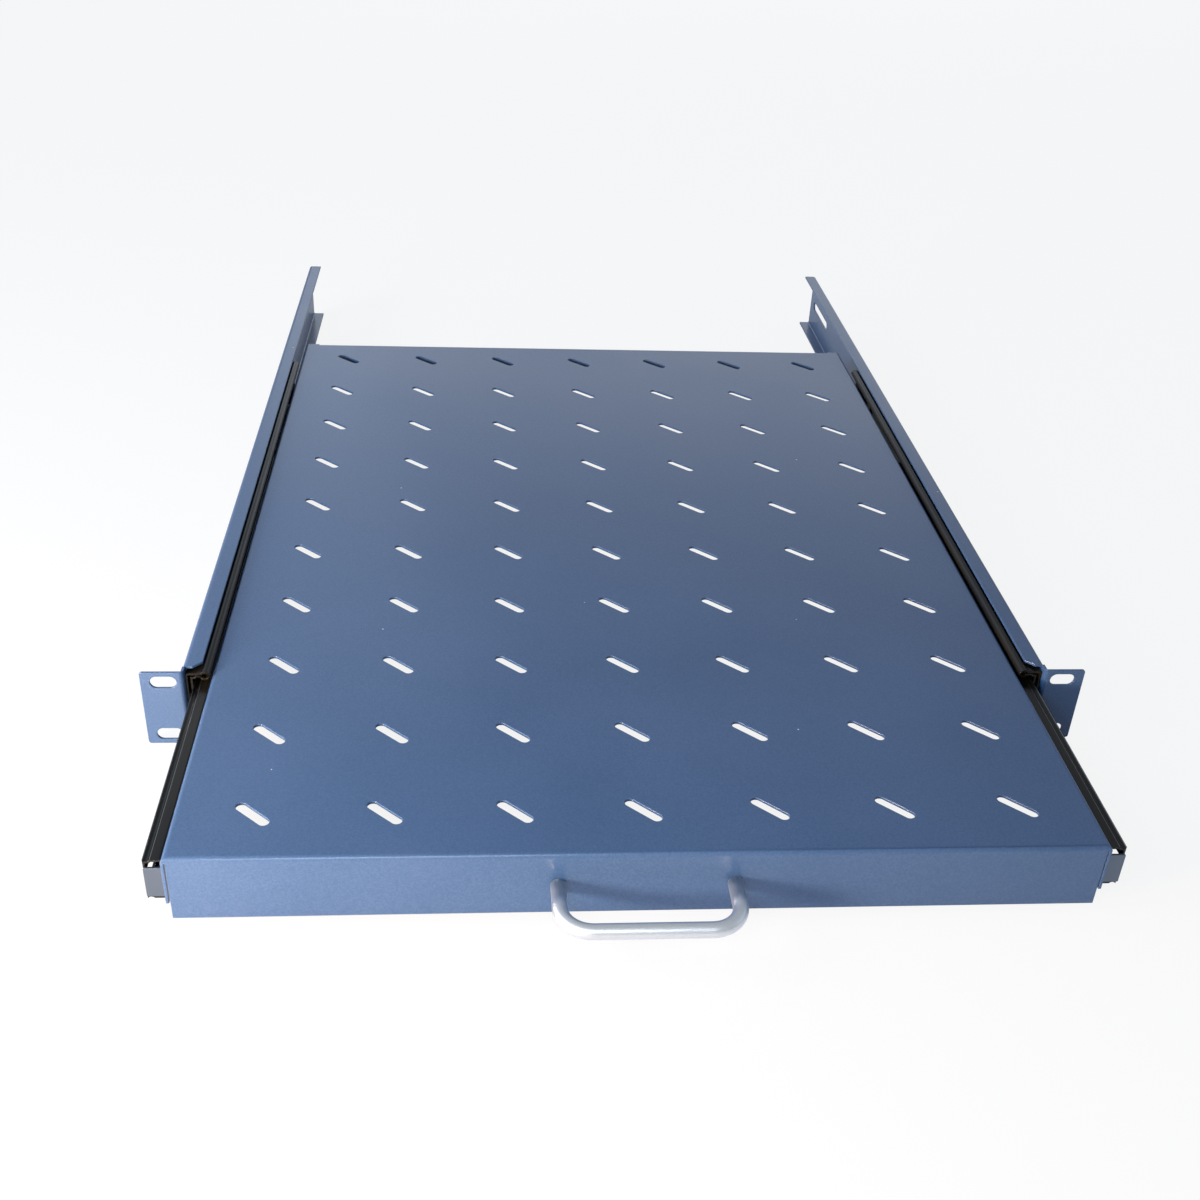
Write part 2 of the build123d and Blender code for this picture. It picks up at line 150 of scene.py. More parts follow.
def new_material(name):
    """A material without any nodes, and its tree."""
    material = bpy.data.materials.new(name)
    material.use_nodes = True
    material.node_tree.nodes.clear()
    return material, material.node_tree


print("mid grey is", round(linear("#808080")[0], 3), "in linear light")

# %% [markdown]
# Powder coat
# The tray and the brackets are cold-rolled steel with a fine-textured polyester powder coat. The
# powder melts into a skin with a fine pebble grain, so the paint is neither glossy nor chalky: a
# broad soft shine lies over a slate blue. The grain of real powder is about 0.3 mm. It is drawn at
# 0.8 mm here, because finer grain would be smaller than a pixel. It could be modelled as a rough
# surface, but at this size a bump in the shader looks the same and costs nothing. A slow, weak
# change of colour stands for uneven film thickness and for handling marks.
#
# Where the resin has flowed together it lies over the grain as a thin, smoother skin. Its shine is
# narrower than that of the grain and shows on the folded edges, so it is given as a partial clear
# coat.
#
# A few pale specks, up to a millimetre wide, are dust and knocks that went through the skin. They
# come from a cell pattern: each cell of space holds one point, a speck shows where the surface
# passes within half a millimetre of it, and most cells are left out. The eye takes the specks as a
# sign of size.

# %% Powder coat
GRAIN_MM = 0.8
GRAIN_DEPTH_MM = 0.1
GRAIN_COLOUR_SHARE = 0.6
CLOUD_MM = 90.0
CLOUD_COLOUR_SHARE = 0.35
SPECK_MM = 0.5
SPECK_CELL_MM = 9.0
SPECK_SHARE = 0.15
SPECK_COLOUR = "#c3cad3"
SKIN_WEIGHT = 0.35
SKIN_ROUGHNESS = 0.2
RESIN_IOR = 1.5


def powder_coat(name, body_colour, light_colour):
    material, tree = new_material(name)
    place = add(tree, "ShaderNodeTexCoord").outputs["Object"]
    grain = add(tree, "ShaderNodeTexNoise", {"Vector": place, "Scale": 1 / (GRAIN_MM * MM), "Detail": 2.0})
    cloud = add(tree, "ShaderNodeTexNoise", {"Vector": place, "Scale": 1 / (CLOUD_MM * MM), "Detail": 3.0})
    grain_share = add(tree, "ShaderNodeMapRange", {
        "Value": grain, "From Min": 0.35, "From Max": 0.7, "To Max": GRAIN_COLOUR_SHARE})
    cloud_share = add(tree, "ShaderNodeMapRange", {
        "Value": cloud, **NOISE_RANGE, "To Max": CLOUD_COLOUR_SHARE})
    share = add(tree, "ShaderNodeMath", {0: grain_share, 1: cloud_share}, operation="ADD")
    paint = add(tree, "ShaderNodeMix", {
        "Factor": share, "A": linear(body_colour), "B": linear(light_colour)}, data_type="RGBA")
    cells = add(tree, "ShaderNodeTexVoronoi", {"Vector": place, "Scale": 1 / (SPECK_CELL_MM * MM)}).outputs
    near = add(tree, "ShaderNodeMath", {
        0: cells["Distance"], 1: SPECK_MM / SPECK_CELL_MM}, operation="LESS_THAN")
    shown = add(tree, "ShaderNodeMath", {0: cells["Color"], 1: SPECK_SHARE}, operation="LESS_THAN")
    speck = add(tree, "ShaderNodeMath", {0: near, 1: shown}, operation="MULTIPLY")
    colour = add(tree, "ShaderNodeMix", {
        "Factor": speck, "A": paint, "B": linear(SPECK_COLOUR)}, data_type="RGBA")
    gloss = add(tree, "ShaderNodeMapRange", {"Value": cloud, **NOISE_RANGE, "To Min": 0.33, "To Max": 0.41})
    bump = add(tree, "ShaderNodeBump", {"Height": grain, "Strength": 0.25, "Distance": GRAIN_DEPTH_MM * MM})
    shader = add(tree, "ShaderNodeBsdfPrincipled", {
        "Base Color": colour, "Roughness": gloss, "IOR": RESIN_IOR, "Specular IOR Level": 0.4,
        "Normal": bump, "Coat Weight": SKIN_WEIGHT, "Coat Roughness": SKIN_ROUGHNESS})
    add(tree, "ShaderNodeOutputMaterial", {"Surface": shader})
    return material


PAINT = powder_coat("fine textured powder coat on steel", "#335279", "#4a648a")
print(PAINT.name)

# %% [markdown]
# Black electrocoat
# The rails of the slides are rolled from strip and dipped in a thin black electrocoat. The film is
# smooth, so it shines in thin lines along each rolled edge. Warm brownish streaks in the black are a
# painted reflection: they stand for the olive-brown sheen that the film shows of its surroundings.
# The streaks run the long way of the rail, as rolling and sliding leave them. They could be painted
# on, but the same noise does it if it is squeezed along that axis.
#
# The front end of each inner rail is a tab, which is bent out after coating and then rubs on the
# hand and on the rack. There the black is worn to a satin grey. The tab is no piece of its own, so
# the shader mixes the worn metal in by the place along the rail: it ends a little behind the tab's
# front face, and a noise makes its border ragged. The long rounded edges of the rails are given bare
# steel, which shows as thin bright lines beside the black: a painted highlight for the shine along
# the rolled edges. These edges are faces of their own, so they get a second material.

# %% Black electrocoat
STREAK_MM = 4.0
STREAK_SQUEEZE = 0.06
WORN_DEPTH_MM = 1.6
BORDER_MM = 1.0
BORDER_NOISE_MM = 1.5
worn_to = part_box("left_inner_rail")[0].y + WORN_DEPTH_MM * MM


def electrocoat(name, black, painted_sheen, rubbed):
    material, tree = new_material(name)
    place = add(tree, "ShaderNodeTexCoord").outputs["Object"]
    long_way = add(tree, "ShaderNodeMapping", {"Vector": place, "Scale": (1.0, STREAK_SQUEEZE, 1.0)})
    streak = add(tree, "ShaderNodeTexNoise", {
        "Vector": long_way, "Scale": 1 / (STREAK_MM * MM), "Detail": 3.0})
    # The warm streak colour is a painted reflection of the surroundings in the film, not grease.
    painted_sheen_share = add(tree, "ShaderNodeMapRange", {"Value": streak, **NOISE_RANGE})
    colour = add(tree, "ShaderNodeMix", {
        "Factor": painted_sheen_share, "A": linear(black), "B": linear(painted_sheen)}, data_type="RGBA")
    gloss = add(tree, "ShaderNodeMapRange", {"Value": streak, **NOISE_RANGE, "To Min": 0.2, "To Max": 0.32})
    film = add(tree, "ShaderNodeBsdfPrincipled", {
        "Base Color": colour, "Roughness": gloss, "IOR": RESIN_IOR, "Specular IOR Level": 0.25})
    worn = add(tree, "ShaderNodeBsdfPrincipled", {
        "Base Color": linear(rubbed), "Metallic": 1.0, "Roughness": 0.42})
    along = add(tree, "ShaderNodeSeparateXYZ", {"Vector": place}).outputs["Y"]
    border = add(tree, "ShaderNodeTexNoise", {
        "Vector": place, "Scale": 1 / (BORDER_NOISE_MM * MM), "Detail": 2.0})
    shift = add(tree, "ShaderNodeMath", {0: border, 1: BORDER_MM * MM}, operation="MULTIPLY")
    ragged = add(tree, "ShaderNodeMath", {0: along, 1: shift}, operation="ADD")
    share = add(tree, "ShaderNodeMapRange", {
        "Value": ragged, "From Min": worn_to, "From Max": worn_to + BORDER_MM * MM,
        "To Min": 1.0, "To Max": 0.0})
    both = add(tree, "ShaderNodeMixShader", {0: share, 1: film, 2: worn})
    add(tree, "ShaderNodeOutputMaterial", {"Surface": both})
    return material


def painted_highlight_steel(name, colour):
    material, tree = new_material(name)
    shader = add(tree, "ShaderNodeBsdfPrincipled", {
        "Base Color": linear(colour), "Metallic": 1.0, "Roughness": 0.35})
    add(tree, "ShaderNodeOutputMaterial", {"Surface": shader})
    return material


# 1c1810 is the painted reflection in the streaks; #6c7684 is the steel of the worn tab.
RAIL_BLACK = electrocoat("black electrocoat on rolled steel", "#08090b", "#1c1810", "#6c7684")
# The bare steel on the rail edges is a painted highlight: it draws thin bright lines along the rolled edges.
RAIL_EDGE_PAINTED_HIGHLIGHT = painted_highlight_steel("bare steel as a painted highlight on rail edges", "#7d8085")
print(RAIL_BLACK.name, "|", RAIL_EDGE_PAINTED_HIGHLIGHT.name)

# %% [markdown]
# Bright metals
# The handle is drawn aluminium bar, bent and then blasted and anodised clear. Blasting breaks the
# mirror into a soft white shine that follows the bar. The screws and nuts are zinc plated, the ball
# cages are stamped from galvanised strip, and the balls are polished. Each could have a recipe of
# its own, but one is enough: they differ in colour, in grain and in the width of their shine, and a
# metal keeps Blender's default IOR.

# %% Bright metals
def metal(name, body_colour, light_colour, grain_mm, smooth, rough, bump_mm=0.0):
    material, tree = new_material(name)
    place = add(tree, "ShaderNodeTexCoord").outputs["Object"]
    grain = add(tree, "ShaderNodeTexNoise", {"Vector": place, "Scale": 1 / (grain_mm * MM), "Detail": 3.0})
    colour = add(tree, "ShaderNodeMix", {
        "Factor": grain, "A": linear(body_colour), "B": linear(light_colour)}, data_type="RGBA")
    gloss = add(tree, "ShaderNodeMapRange", {
        "Value": grain, **NOISE_RANGE, "To Min": smooth, "To Max": rough})
    shine = {"Base Color": colour, "Metallic": 1.0, "Roughness": gloss}
    if bump_mm:
        shine["Normal"] = add(tree, "ShaderNodeBump", {
            "Height": grain, "Strength": 0.3, "Distance": bump_mm * MM})
    shader = add(tree, "ShaderNodeBsdfPrincipled", shine)
    add(tree, "ShaderNodeOutputMaterial", {"Surface": shader})
    return material


SATIN_ALUMINIUM = metal("satin anodised aluminium", "#cdd3d9", "#e4e8ec", 0.6, 0.38, 0.48, 0.02)
ZINC = metal("zinc plated steel", "#8e949b", "#b3b8bd", 1.5, 0.28, 0.45)
ZINC_STRIP = metal("galvanised strip", "#8b9096", "#a9adb0", 6.0, 0.3, 0.5)
BEARING_STEEL = metal("polished bearing steel", "#c9cccf", "#d6d8da", 5.0, 0.06, 0.12)
print(SATIN_ALUMINIUM.name, "|", ZINC.name, "|", ZINC_STRIP.name, "|", BEARING_STEEL.name)

# %% [markdown]
# Moulded plastic
# The rear buffers are moulded acetal. Spark-eroded moulds leave a fine matt grain on such parts, so
# the black is broken by a soft grey sheen. A plain black would look like a hole, so the grain gives
# both the colour and the bump.

# %% Moulded acetal
MOULD_GRAIN_MM = 0.5
MOULD_GRAIN_DEPTH_MM = 0.03
ACETAL_IOR = 1.48


def acetal(name, body_colour, light_colour):
    material, tree = new_material(name)
    place = add(tree, "ShaderNodeTexCoord").outputs["Object"]
    grain = add(tree, "ShaderNodeTexNoise", {
        "Vector": place, "Scale": 1 / (MOULD_GRAIN_MM * MM), "Detail": 1.0})
    colour = add(tree, "ShaderNodeMix", {
        "Factor": grain, "A": linear(body_colour), "B": linear(light_colour)}, data_type="RGBA")
    bump = add(tree, "ShaderNodeBump", {
        "Height": grain, "Strength": 0.4, "Distance": MOULD_GRAIN_DEPTH_MM * MM})
    shader = add(tree, "ShaderNodeBsdfPrincipled", {
        "Base Color": colour, "Roughness": 0.55, "IOR": ACETAL_IOR, "Normal": bump})
    add(tree, "ShaderNodeOutputMaterial", {"Surface": shader})
    return material


ACETAL = acetal("moulded black acetal", "#17181a", "#242629")
print(ACETAL.name)

# %% [markdown]
# A finish for every piece
# The construction says for each piece which kind of surface it has. The finishes could be given
# piece by piece, but with a table from the kind to the material none is left out. The cages, the
# balls and the buffers are small and mostly hidden in the slides, so they keep the construction's
# own shapes and need no more than this.

# %% A finish for every piece
FINISH = {"powder_coat": PAINT, "rail_coat": RAIL_BLACK, "satin_aluminium": SATIN_ALUMINIUM,
          "zinc_screw": ZINC, "zinc_strip": ZINC_STRIP, "bearing_ball": BEARING_STEEL,
          "black_plastic": ACETAL}
for name, node_object in frame["nodes"].items():
    node_object.data.materials.clear()
    node_object.data.materials.append(FINISH[SLOT_OF[name]])
print(len(frame["nodes"]), "pieces have a finish")

# %% [markdown]
# A piece in the scene
# Every piece that is modelled here stands for one piece of the construction, so it rides on the
# same body, takes the same material and hides that piece. One function does all of this, so that no
# piece is left behind when the tray slides. The surface is shaded smooth. The sharp edges could be
# marked by hand, but a weighted-normal modifier does the same for all pieces: large flat faces stay
# flat, and the narrow rounded edges between them catch the light.

# %% One function for every modelled piece
FACE_WEIGHT = 80


def set_in_place(bm, name, node):
    """Makes an object of a bmesh that stands for one piece of the construction."""
    mesh = bpy.data.meshes.new(name)
    bm.to_mesh(mesh)
    bm.free()
    mesh.shade_smooth()
    mesh.materials.append(FINISH[SLOT_OF[node]])
    piece = bpy.data.objects.new(name, mesh)
    bpy.context.scene.collection.objects.link(piece)
    piece.modifiers.new("flat faces stay flat", "WEIGHTED_NORMAL").weight = FACE_WEIGHT
    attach(piece, BODY_OF[node])
    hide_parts(node)
    return piece


print("a piece rides on, for example,", BODY_OF["shelf_tray"])

# %% [markdown]
# Rounded sheet edges
# A shear leaves a sharp edge, but tumbling takes off the burr and the paint then flows round what
# is left, so no painted edge in the real shelf is sharper than about a third of a millimetre. The
# eye reads this at once: a rounded edge draws a thin bright line, and a perfect one looks like
# paper. The construction's sheets have sharp edges, so each gets a copy with rounded ones. A bevel
# modifier could round them too, but here the edges are chosen once, and the result can be checked.
#
# The copy's triangles are first merged into one skin. Triangles that lie in one plane are then
# dissolved into whole faces, so that only true edges are left, and the edges that turn by more
# than 40 degrees are bevelled. The rolled bends turn by less from facet to facet and stay whole.
#
# Where a cut edge runs out into a rolled bend, the facets are so short that the bevel can overshoot
# into a thin spike. A rounded edge never leaves the sheet by more than a part of its own radius, so
# any point that lies farther off is put back on the nearest place of the sheet.

# %% Rounded copies of the sheets and the rails
PAINTED_EDGE_MM = 0.35
ROLLED_EDGE_MM = 0.22
MERGE_MM = 0.002
FLAT_WITHIN = math.radians(0.5)
SHARP_FROM = math.radians(40)
STRAY_SHARE = 0.6
LONG_EDGE_MM = 60.0


def rounded_copy(node, edge_mm):
    bm = bmesh.new()
    bm.from_mesh(frame["nodes"][node].data)
    bmesh.ops.remove_doubles(bm, verts=bm.verts, dist=MERGE_MM * MM)
    bmesh.ops.dissolve_limit(bm, angle_limit=FLAT_WITHIN, verts=bm.verts, edges=bm.edges)
    sheet = BVHTree.FromBMesh(bm)
    sharp = [e for e in bm.edges if e.calc_face_angle(0.0) > SHARP_FROM]
    made = bmesh.ops.bevel(bm, geom=sharp, offset=edge_mm * MM, offset_type="OFFSET", segments=2,
                           profile=0.5, affect="EDGES", material=-1, clamp_overlap=False)
    stray = [v for v in bm.verts if sheet.find_nearest(v.co)[3] > STRAY_SHARE * edge_mm * MM]
    for vert in stray:
        vert.co = sheet.find_nearest(vert.co)[0]
    is_rail = SLOT_OF[node] == "rail_coat"
    # The long rounded edges of a rail take the bare steel of the second material, as a painted highlight
    # line.
    for face in made["faces"]:
        if is_rail and max(e.calc_length() for e in face.edges) > LONG_EDGE_MM * MM:
            face.material_index = 1
    piece = set_in_place(bm, f"rounded_{node}", node)
    if is_rail:
        piece.data.materials.append(RAIL_EDGE_PAINTED_HIGHLIGHT)
    print(node, len(sharp), "edges rounded by", edge_mm, "mm,", len(stray), "stray points put back")


rounded_copy("shelf_tray", PAINTED_EDGE_MM)
for side in SIDES:
    rounded_copy(f"{side}_bracket", PAINTED_EDGE_MM)
    for rail in ("outer_rail", "middle_rail", "inner_rail"):
        rounded_copy(f"{side}_{rail}", ROLLED_EDGE_MM)

# %% [markdown]
# Pushing and bending a bar
# A bar is drawn through a die, and a bend is made by pulling it round a tool. A curve with a round
# profile could give the same bar, but pushing and spinning a ring of edges are the same two moves
# that the shop makes, and they keep each bend a true arc.

# %% Pushing and bending a bar
BEND_STEPS = 16


def new_verts(made):
    return [g for g in made if isinstance(g, bmesh.types.BMVert)]


def new_edges(made):
    return [g for g in made if isinstance(g, bmesh.types.BMEdge)]


def push(bm, ring, by):
    """Extrudes a ring of edges and moves the new ring. It gives back the new edges."""
    made = bmesh.ops.extrude_edge_only(bm, edges=ring)["geom"]
    bmesh.ops.translate(bm, verts=new_verts(made), vec=by)
    return new_edges(made)


def bend(bm, ring, centre, angle):
    """Spins a ring of edges about an upright axis. It gives back the last ring."""
    verts = list({v for e in ring for v in e.verts})
    made = bmesh.ops.spin(bm, geom=verts + ring, cent=centre, axis=(0, 0, 1), angle=angle, steps=BEND_STEPS)
    return new_edges(made["geom_last"])


print("a right angle is bent in", BEND_STEPS, "steps")

# %% [markdown]
# The bow handle
# The handle is a round bar of 7 mm, bent twice by a right angle in a bending tool and screwed on
# from behind. It is made the same way here: a circle is the bar's end, it is pushed forward to
# make a leg, spun about the tool's centre to make a bend, pushed along the grip, spun again and
# pushed back to the tray. The bend's radius is that of the tool, twice the bar's width. A swept
# bar from the construction would do, but its facets show in the shine, and this one is finer.

# %% The bow handle
BAR_RADIUS = 3.5 * MM
BEND_RADIUS = 14.0 * MM
BAR_SEGMENTS = 48

handle_low, handle_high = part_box("handle")
leg_x = handle_high.x - BAR_RADIUS
bend_x = leg_x - BEND_RADIUS
bend_y = handle_low.y + BAR_RADIUS + BEND_RADIUS
bar_z = (handle_low.z + handle_high.z) / 2

bm = bmesh.new()
foot = Matrix.Translation((-leg_x, handle_high.y, bar_z)) @ Matrix.Rotation(math.pi / 2, 4, "X")
bmesh.ops.create_circle(bm, segments=BAR_SEGMENTS, radius=BAR_RADIUS, matrix=foot)
leg = Vector((0.0, bend_y - handle_high.y, 0.0))
ring = push(bm, list(bm.edges), leg)
ring = bend(bm, ring, (-bend_x, bend_y, bar_z), math.pi / 2)
ring = push(bm, ring, (2 * bend_x, 0.0, 0.0))
ring = bend(bm, ring, (bend_x, bend_y, bar_z), math.pi / 2)
push(bm, ring, -leg)
bmesh.ops.holes_fill(bm, edges=[e for e in bm.edges if e.is_boundary], sides=BAR_SEGMENTS)
bmesh.ops.recalc_face_normals(bm, faces=bm.faces)
reach = [max(v.co[i] for v in bm.verts) - min(v.co[i] for v in bm.verts) for i in range(3)]
print("handle", [round(length / MM, 2) for length in reach], "mm")
set_in_place(bm, "bent_bar_handle", "handle")

# %% [markdown]
# Pan-head screws
# The slides are fixed with short M4 pan-head screws, and the handle with two of the same from
# behind. A pan head is cold-forged: a die presses a low dome, and a punch presses the cross recess,
# which narrows as it goes down so that the driver wedges in it. The recess could be cut out with a
# boolean, which leaves long thin triangles, so the head is built up instead, as a ring that is
# pushed up step by step and made narrower. The recess starts as a grid of nine squares without
# its four corners, which is a cross. It is pushed down and narrowed, and its outline is bridged
# to the dome's rim. The thread can't be seen in its hole, so the shank stays plain.

# %% One pan-head screw
HEAD_RADIUS = 3.8 * MM
HEAD_HEIGHT = 2.0 * MM
SHANK_RADIUS = 1.95 * MM
CROSS_WIDTH = 4.2 * MM
CROSS_DEPTH = 1.3 * MM
CROSS_TAPER = 0.45
ROUND_SEGMENTS = 24
# Each step of the dome: its radius, and how far it rises, as shares of the head's.
DOME = ((0.97, 0.45), (0.90, 0.25), (0.76, 0.19), (0.62, 0.11))


def narrow(bm, verts, factor):
    bmesh.ops.scale(bm, verts=verts, vec=(factor, factor, 1.0))


def is_corner(square):
    centre = square.calc_center_median()
    return min(abs(centre.x), abs(centre.y)) > CROSS_WIDTH / 5


def pan_head_screw(length):
    """A screw that points up, with its seat at the origin and its shank below."""
    bm = bmesh.new()
    bmesh.ops.create_circle(bm, segments=ROUND_SEGMENTS, radius=HEAD_RADIUS)
    seat = list(bm.edges)
    rim, radius = seat, 1.0
    for share, rise in DOME:
        rim = push(bm, rim, (0.0, 0.0, rise * HEAD_HEIGHT))
        narrow(bm, list({v for e in rim for v in e.verts}), share / radius)
        radius = share
    made = bmesh.ops.create_grid(bm, x_segments=3, y_segments=3, size=CROSS_WIDTH / 2,
                                 matrix=Matrix.Translation((0.0, 0.0, HEAD_HEIGHT)))
    squares = list({f for v in made["verts"] for f in v.link_faces})
    bmesh.ops.delete(bm, geom=[f for f in squares if is_corner(f)], context="FACES")
    cross = [f for f in squares if f.is_valid]
    mouth = [e for f in cross for e in f.edges if e.is_boundary]
    bmesh.ops.bridge_loops(bm, edges=rim + mouth)
    bottom = new_verts(bmesh.ops.extrude_face_region(bm, geom=cross)["geom"])
    bmesh.ops.delete(bm, geom=[f for f in cross if f.is_valid], context="FACES_ONLY")
    bmesh.ops.translate(bm, verts=bottom, vec=(0.0, 0.0, -CROSS_DEPTH))
    narrow(bm, bottom, CROSS_TAPER)
    neck = push(bm, seat, (0.0, 0.0, 0.0))
    narrow(bm, list({v for e in neck for v in e.verts}), SHANK_RADIUS / HEAD_RADIUS)
    tip = push(bm, neck, (0.0, 0.0, -length))
    bmesh.ops.holes_fill(bm, edges=tip, sides=ROUND_SEGMENTS)
    bmesh.ops.remove_doubles(bm, verts=bm.verts, dist=MERGE_MM * MM)
    bmesh.ops.recalc_face_normals(bm, faces=bm.faces)
    return bm


print("a head is", round(2 * HEAD_RADIUS / MM, 1), "mm wide and", round(HEAD_HEIGHT / MM, 1), "mm high")

# %% [markdown]
# Rows of fasteners
# Each slide is fixed in three places, so the same screw is needed again and again. Linked copies
# would do for a picture, but here one row is one piece that moves with one body, so the copies are
# joined into one mesh. The row's place and length come from the box of the construction's own
# screws: the heads lie on its outer side, and the shanks fill the rest.

# %% Rows of fasteners
def row_of(bm_one, node, name, outward, centres):
    """Copies one small part to several places, turned so that its top looks outward."""
    one = bpy.data.meshes.new("one")
    bm_one.to_mesh(one)
    bm_one.free()
    turn = Vector(outward).to_track_quat("Z", "X").to_matrix().to_4x4()
    bm = bmesh.new()
    for centre in centres:
        placed = one.copy()
        placed.transform(Matrix.Translation(centre) @ turn)
        bm.from_mesh(placed)
        bpy.data.meshes.remove(placed)
    bpy.data.meshes.remove(one)
    print(name, len(centres), "parts,", len(bm.faces), "faces")
    set_in_place(bm, name, node)


def evenly(start, end, count):
    return [start + (end - start) * i / (count - 1) for i in range(count)]


FIXINGS_IN_A_ROW = 3
for side in SIDES:
    outward = Vector((-1.0 if side == "left" else 1.0, 0.0, 0.0))
    for row in ("outer_rail_screws", "inner_rail_screws"):
        node = f"{side}_{row}"
        low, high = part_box(node)
        middle, half = (low + high) / 2, (high - low) / 2
        seat_x = middle.x + outward.x * (half.x - HEAD_HEIGHT)
        places = evenly(low.y + HEAD_RADIUS, high.y - HEAD_RADIUS, FIXINGS_IN_A_ROW)
        row_of(pan_head_screw(2 * half.x - HEAD_HEIGHT), node, f"pan_head_{node}", outward,
               [Vector((seat_x, y, middle.z)) for y in places])

low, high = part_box("handle_screws")
row_of(pan_head_screw(high.y - low.y - HEAD_HEIGHT), "handle_screws", "pan_head_handle_screws",
       (0.0, 1.0, 0.0), [Vector((x, high.y - HEAD_HEIGHT, bar_z)) for x in (-leg_x, leg_x)])

# %% [markdown]
# Hexagon nuts
# Behind each screw of the inner rails sits an M4 nut. A nut is cut from hexagon bar or pressed, and
# both ends are chamfered so that the corners don't dig into the sheet. A six-sided cylinder with a
# cut hole would need a boolean. Here a ring and a hexagon are bridged to make the end face, the
# face is pushed to the nut's height, and the outer edges of both ends are bevelled.

# %% Hexagon nuts
ACROSS_FLATS = 7.0 * MM
NUT_CHAMFER = 0.35 * MM
NUT_BORE_RADIUS = SHANK_RADIUS + 0.05 * MM
CORNER_RADIUS = ACROSS_FLATS / 2 / math.cos(math.pi / 6)


def hexagon_nut(height):
    bm = bmesh.new()
    bmesh.ops.create_circle(bm, segments=6, radius=CORNER_RADIUS)
    bmesh.ops.create_circle(bm, segments=ROUND_SEGMENTS, radius=NUT_BORE_RADIUS)
    bmesh.ops.bridge_loops(bm, edges=list(bm.edges))
    raised = bmesh.ops.extrude_face_region(bm, geom=list(bm.faces))["geom"]
    bmesh.ops.translate(bm, verts=new_verts(raised), vec=(0.0, 0.0, height))
    bmesh.ops.recalc_face_normals(bm, faces=bm.faces)
    ends = [e for e in bm.edges if abs(e.verts[0].co.z - e.verts[1].co.z) < height / 2
            and min(v.co.xy.length for v in e.verts) > CORNER_RADIUS * 0.99]
    bmesh.ops.bevel(bm, geom=ends, offset=NUT_CHAMFER, offset_type="OFFSET", segments=1, profile=0.5,
                    affect="EDGES", material=-1)
    return bm


for side in SIDES:
    node = f"{side}_inner_rail_nuts"
    low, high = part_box(node)
    places = evenly(low.y + ACROSS_FLATS / 2, high.y - ACROSS_FLATS / 2, FIXINGS_IN_A_ROW)
    row_of(hexagon_nut(high.x - low.x), node, f"hexagon_{node}", (1.0, 0.0, 0.0),
           [Vector((low.x, y, (low.z + high.z) / 2)) for y in places])

# %% [markdown]
# A white ground
# The photograph is a cut-out on white. The ground could be lit until it is white, but that light
# would wash the paint out. So rays from the camera find the floor almost white of itself, and the
# world behind it is pale for them too. Reflections find part of that white, since a shelf in a
# white room shows it. Everything else is lit by a dim cool room, and the rest of the floor is plain
# paper, which keeps a soft shadow under the shelf. The world is a little darker than white, as the
# far floor is, so that the floor's edge hardly shows.

# %% White for the viewer
WHITE_SHARE = 0.88
GLOSSY_SHARE = 0.4
FAR_WHITE = 0.91


def white_for_viewers(tree, plain, white_kind, share_of_white, strength=1.0):
    """Mixes a shader with plain white for camera, glossy and transmission rays."""
    rays = add(tree, "ShaderNodeLightPath").outputs
    mirrored = add(tree, "ShaderNodeMath", {0: rays["Is Glossy Ray"], 1: GLOSSY_SHARE}, operation="MULTIPLY")
    direct = add(tree, "ShaderNodeMath", {
        0: rays["Is Camera Ray"], 1: rays["Is Transmission Ray"]}, operation="MAXIMUM")
    seen = add(tree, "ShaderNodeMath", {0: direct, 1: mirrored}, operation="MAXIMUM")
    share = add(tree, "ShaderNodeMath", {0: seen, 1: share_of_white}, operation="MULTIPLY")
    white = add(tree, white_kind, {"Color": (1.0, 1.0, 1.0, 1.0), "Strength": strength})
    return add(tree, "ShaderNodeMixShader", {0: share, 1: plain, 2: white})


print("the floor is", WHITE_SHARE, "white to the camera and", WHITE_SHARE * GLOSSY_SHARE, "to a reflection")

# %% Floor
FLOOR_RADIUS = 7.0
FLOOR_SEGMENTS = 64
PAPER_COLOUR = "#f3f4f6"

floor_mesh = bpy.data.meshes.new("floor")
bm = bmesh.new()
bmesh.ops.create_circle(bm, cap_ends=True, segments=FLOOR_SEGMENTS, radius=FLOOR_RADIUS)
bmesh.ops.translate(bm, verts=bm.verts, vec=(0.0, 0.0, cad_low[2]))
bm.to_mesh(floor_mesh)
bm.free()
floor = bpy.data.objects.new("floor", floor_mesh)
bpy.context.scene.collection.objects.link(floor)
sweep, sweep_tree = new_material("white paper sweep")
paper = add(sweep_tree, "ShaderNodeBsdfDiffuse", {"Color": linear(PAPER_COLOUR)})
pale_paper = white_for_viewers(sweep_tree, paper, "ShaderNodeEmission", WHITE_SHARE)
add(sweep_tree, "ShaderNodeOutputMaterial", {"Surface": pale_paper})
floor_mesh.materials.append(sweep)
floor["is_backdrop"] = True
print("the floor is", 2 * FLOOR_RADIUS, "m across")

# %% Room
ROOM_COLOUR = "#bddcff"
ROOM_STRENGTH = 0.21

world = bpy.data.worlds.new("studio")
bpy.context.scene.world = world
world.use_nodes = True
sky = world.node_tree
sky.nodes.clear()
room = add(sky, "ShaderNodeBackground", {"Color": linear(ROOM_COLOUR), "Strength": ROOM_STRENGTH})
pale_room = white_for_viewers(sky, room, "ShaderNodeBackground", 1.0, FAR_WHITE)
add(sky, "ShaderNodeOutputWorld", {"Surface": pale_room})
bpy.context.scene.view_settings.view_transform = "Standard"
print("the room's own light has a strength of", ROOM_STRENGTH)

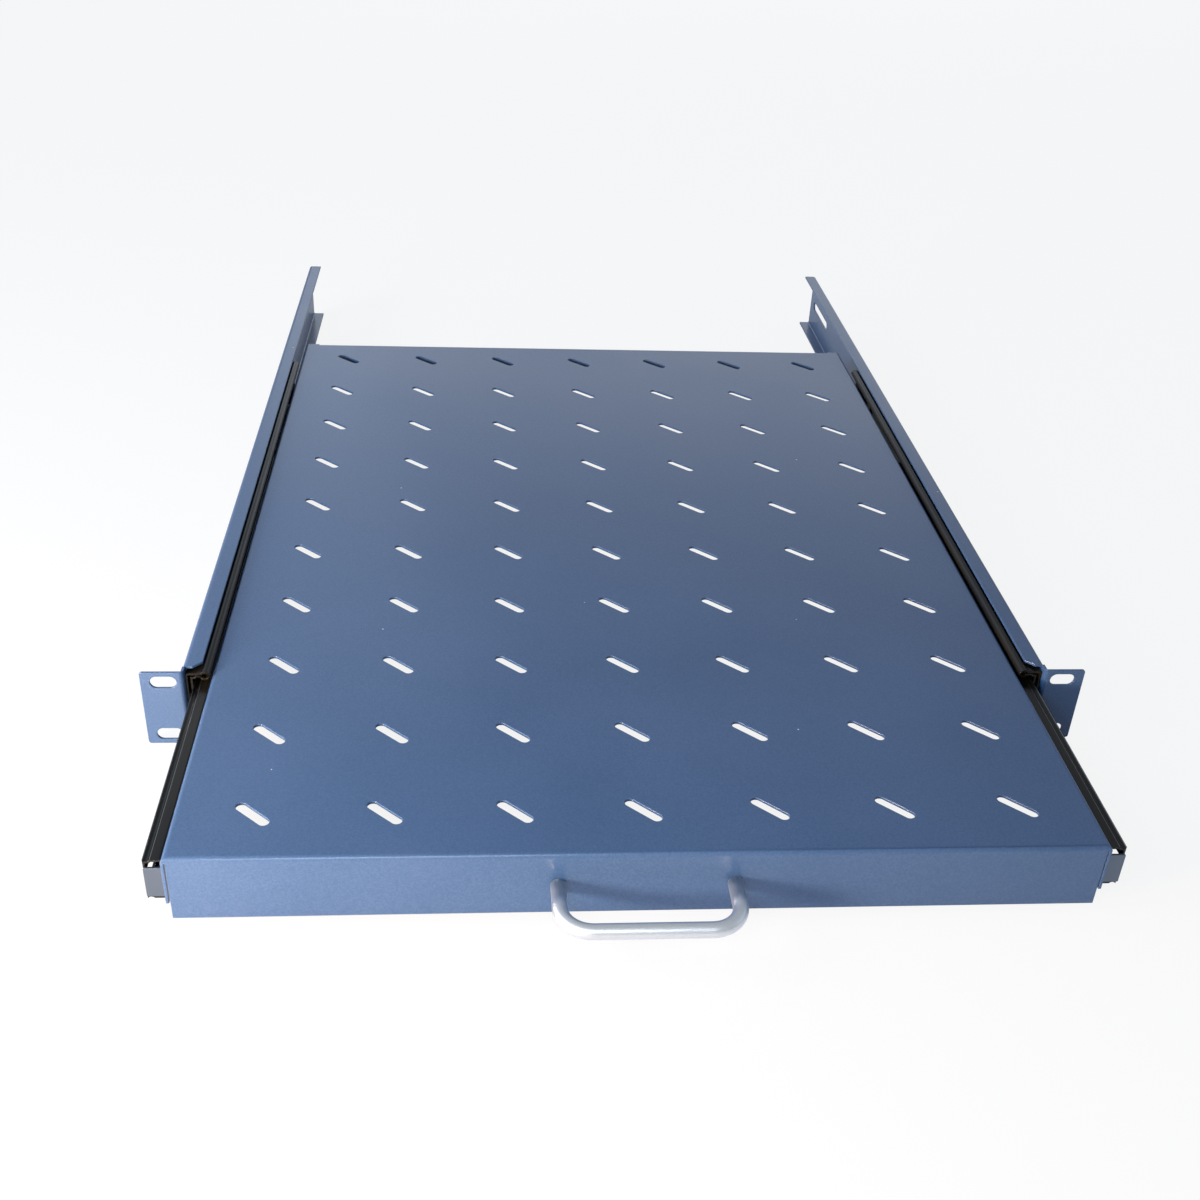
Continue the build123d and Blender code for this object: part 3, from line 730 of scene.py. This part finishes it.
# %% [markdown]
# Lamps
# In the photograph the light comes from the left, close to the front corner: the front flange is
# pale there and darkens to the right, and the right ear lies in the tray's shadow. A sun could give
# the direction but not the fading, so a small warm globe stands there, low and near. A narrow box
# close above the front draws the line on the folded front edge. A cool box on the left makes the
# tray's left half paler than its right, and a broad one behind on the left lays a pale shine on
# the tray's far end. Two more broad, weak boxes on the right and at the rear only keep the hidden
# sides readable. They are large, because a small one shows as a hard white patch in the paint.

# %% Lamps
def aimed(name, data, place, aim, colour, power):
    data.energy = power
    data.color = linear(colour)[:3]
    lamp = bpy.data.objects.new(name, data)
    bpy.context.scene.collection.objects.link(lamp)
    lamp.visible_camera = False
    turn = (Vector(aim) - Vector(place)).to_track_quat("-Z", "Y").to_matrix().to_4x4()
    lamp.matrix_world = Matrix.Translation(place) @ turn


def softbox(name, place, aim, size, power, colour):
    """A rectangular lamp that faces a point."""
    data = bpy.data.lights.new(name, "AREA")
    data.shape = "RECTANGLE"
    data.size, data.size_y = size
    aimed(name, data, place, aim, colour, power)


def globe(name, place, radius, power, colour):
    """A round lamp that shines all round."""
    data = bpy.data.lights.new(name, "POINT")
    data.shadow_soft_size = radius
    aimed(name, data, place, (0.0, 0.0, 0.0), colour, power)


FOLD_AIM_X = -0.10
shelf_middle = Vector(((cad_low[0] + cad_high[0]) / 2, (cad_low[1] + cad_high[1]) / 2, 0.0))
front_fold = Vector((FOLD_AIM_X, tray_low.y, tray_high.z))
globe("lamp_key", (-0.60, -0.46, 0.13), 0.08, 46.0, "#ffdcc0")
softbox("softbox_top", (-0.16, -0.50, 0.36), front_fold, (0.30, 0.08), 1.4, "#eaf4ff")
softbox("softbox_left", (-0.95, -0.10, 0.50), shelf_middle, (0.5, 0.35), 7.0, "#d2ebff")
softbox("softbox_back", (-1.0, 1.9, 1.2), shelf_middle, (1.8, 1.2), 4.2, "#d8ecff")
softbox("softbox_right", (2.2, 0.3, 0.75), shelf_middle, (2.2, 1.3), 4.0, "#dcecff")
softbox("softbox_rear", (0.4, 2.9, 0.7), shelf_middle, (2.2, 1.1), 7.0, "#eaf3ff")

# %% [markdown]
# Sizes and finish
# Rounding an edge or remodelling a screw mustn't change how large the shelf is. It could be judged
# by eye, but two boxes are surer: that of the construction, taken before anything was added, and
# that of the finished model. Both are written down.

# %% Sizes
low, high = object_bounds()
print("visual model", [round((b - a) / MM, 1) for a, b in zip(low, high)], "mm")
